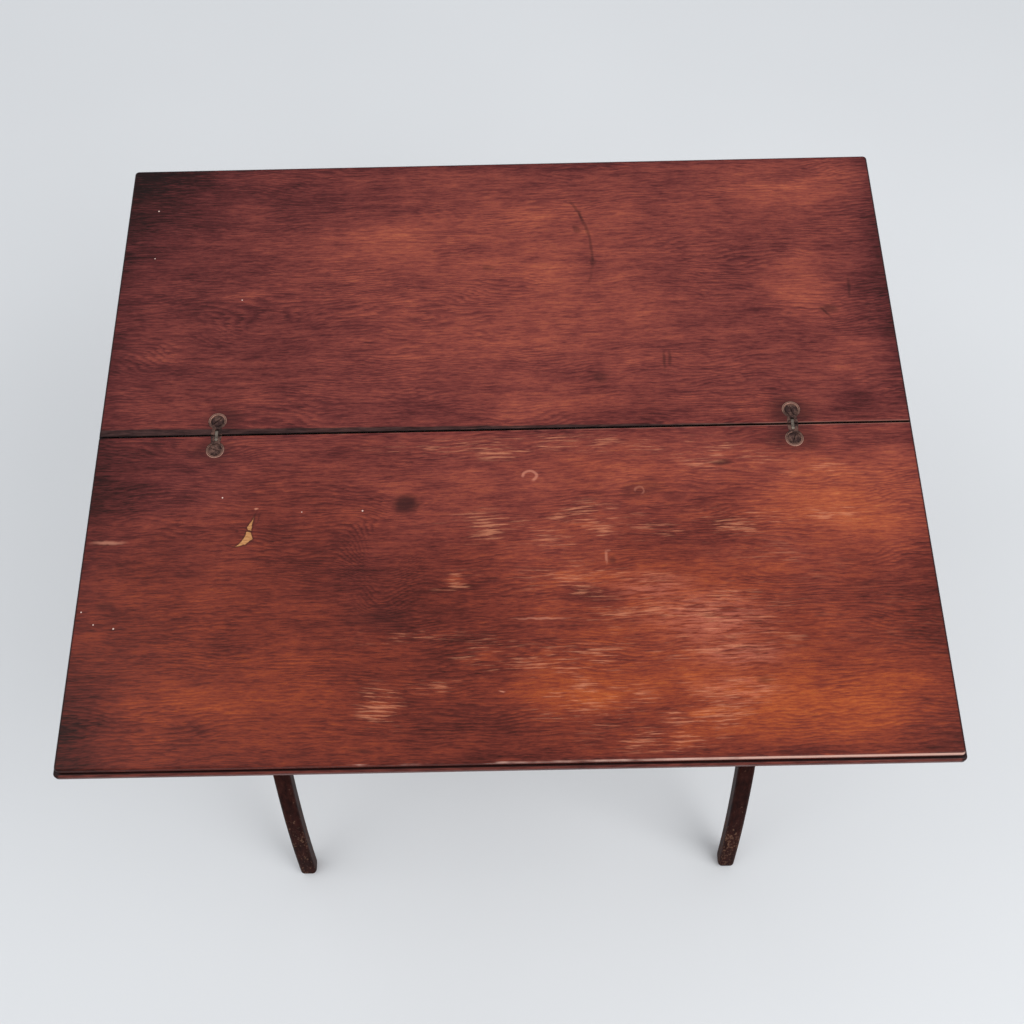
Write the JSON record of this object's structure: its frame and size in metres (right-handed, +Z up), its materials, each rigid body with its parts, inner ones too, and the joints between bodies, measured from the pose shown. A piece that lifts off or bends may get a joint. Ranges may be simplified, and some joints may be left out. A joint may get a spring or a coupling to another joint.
{
  "type": "folding card table",
  "caption": "Card table whose top folds in half on link hinges, on two curved leg frames that cross as an X and fold.",
  "frame": {"origin": "on the floor under the middle of the opened top", "axes": "+X along the seam, +Y away from the folding leaf, +Z up"},
  "size_m": [0.762, 0.635, 0.686],
  "materials": {
    "top_wood": "red-brown stain and satin varnish, worn",
    "leg_wood": "dark brown stain, worn at the feet",
    "frame_wood": "plain stained wood",
    "hinge_brass": "aged, dull",
    "link_steel": "worn bright",
    "screw_steel": "aged, dark",
    "bolt_steel": "plain"
  },
  "bodies": {
    "table_top": {"back_leaf": "top_wood", "bearer_left": "frame_wood", "bearer_right": "frame_wood", "bearer_screws": "screw_steel", "hinge_plate_back_left": "hinge_brass", "hinge_plate_back_right": "hinge_brass", "hinge_pins_back": "link_steel", "hinge_screws_back": "screw_steel"},
    "hinge_links": {"hinge_link_left": "link_steel", "hinge_link_right": "link_steel"},
    "folding_leaf": {"front_leaf": "top_wood", "hinge_plate_front_left": "hinge_brass", "hinge_plate_front_right": "hinge_brass", "hinge_pins_front": "link_steel", "hinge_screws_front": "screw_steel"},
    "outer_frame": {"outer_leg_left": "leg_wood", "outer_leg_right": "leg_wood", "rear_top_rail": "frame_wood", "outer_stretcher": "leg_wood", "rail_pins_outer": "screw_steel", "crossing_bolts": "bolt_steel", "crossing_spacers": "bolt_steel", "crossing_nut_washers": "bolt_steel", "crossing_nuts": "bolt_steel"},
    "inner_frame": {"inner_leg_left": "leg_wood", "inner_leg_right": "leg_wood", "front_top_rail": "frame_wood", "inner_stretcher": "leg_wood", "rail_pins_inner": "screw_steel"}
  },
  "joints": [
    {"name": "back_pin_turn", "type": "hinge", "parent": "table_top", "child": "hinge_links", "pos_m": [0, 0.0038, 0.68375], "axis": [-1, 0, 0], "range_deg": [0, 90]},
    {"name": "front_pin_turn", "type": "hinge", "parent": "hinge_links", "child": "folding_leaf", "pos_m": [0, -0.0038, 0.68375], "axis": [-1, 0, 0], "range_deg": [0, 90]},
    {"name": "leg_fold", "type": "hinge", "parent": "table_top", "child": "outer_frame", "pos_m": [0, 0.16303, 0.65], "axis": [1, 0, 0], "range_deg": [0, 118]},
    {"name": "scissor_close", "type": "hinge", "parent": "outer_frame", "child": "inner_frame", "pos_m": [0, 0, 0.48118], "axis": [-1, 0, 0], "range_deg": [0, 66]}
  ],
  "couplings": [
    {"joint": "scissor_close", "follows": "leg_fold", "ratio": 0.55932}
  ]
}
